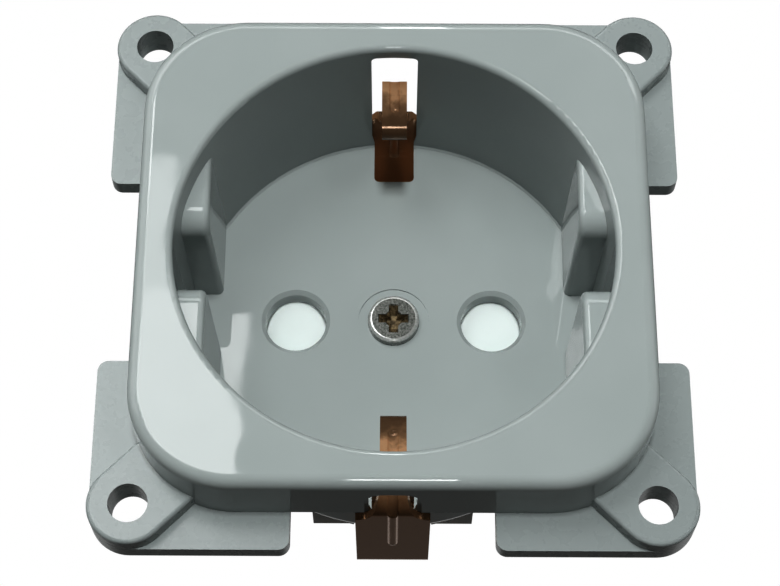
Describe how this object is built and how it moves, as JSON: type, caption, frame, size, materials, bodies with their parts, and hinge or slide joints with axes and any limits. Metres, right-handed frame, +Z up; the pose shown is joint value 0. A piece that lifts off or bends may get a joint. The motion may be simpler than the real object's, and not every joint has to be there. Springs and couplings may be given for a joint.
{
  "type": "wall socket",
  "caption": "Square earthed wall socket insert with a deep round recess, side keys, sprung earth clips, shuttered pin holes and screw ears on corner plates.",
  "frame": {"origin": "on the axis of the recess, in the plane of the panel that the rear faces of the corner plates seat on", "axes": "front faces -Y, +X to the right as seen from the front, +Z up the face; the working parts reach back along +Y"},
  "size_m": [0.0534, 0.0386, 0.0534],
  "materials": {
    "housing": "glossy, cool light grey",
    "carrier": "matte, mid grey",
    "strap": "bronze, tarnished brown",
    "contact": "bronze, clean",
    "nickel": "nickel plated",
    "steel": "zinc plated",
    "shutter": "milky white",
    "spring": "drawn wire"
  },
  "bodies": {
    "insert": {"front_housing": "housing", "contact_carrier": "carrier", "earth_strap": "strap", "live_contact": "contact", "neutral_contact": "contact", "centre_screw": "nickel", "live_terminal_screw": "steel", "neutral_terminal_screw": "steel", "earth_terminal_screw": "steel", "live_clamp_plate": "steel", "neutral_clamp_plate": "steel", "earth_clamp_plate": "steel", "shutter_spring": "spring"},
    "shutter": {"shutter": "shutter"}
  },
  "joints": [
    {"name": "shutter_slide", "type": "slide", "parent": "insert", "child": "shutter", "axis": [0, 0, 1], "range_m": [0, 0.0054], "stiffness_N_per_m": 150, "springref_m": -0.003, "deforming": ["shutter_spring"]}
  ]
}
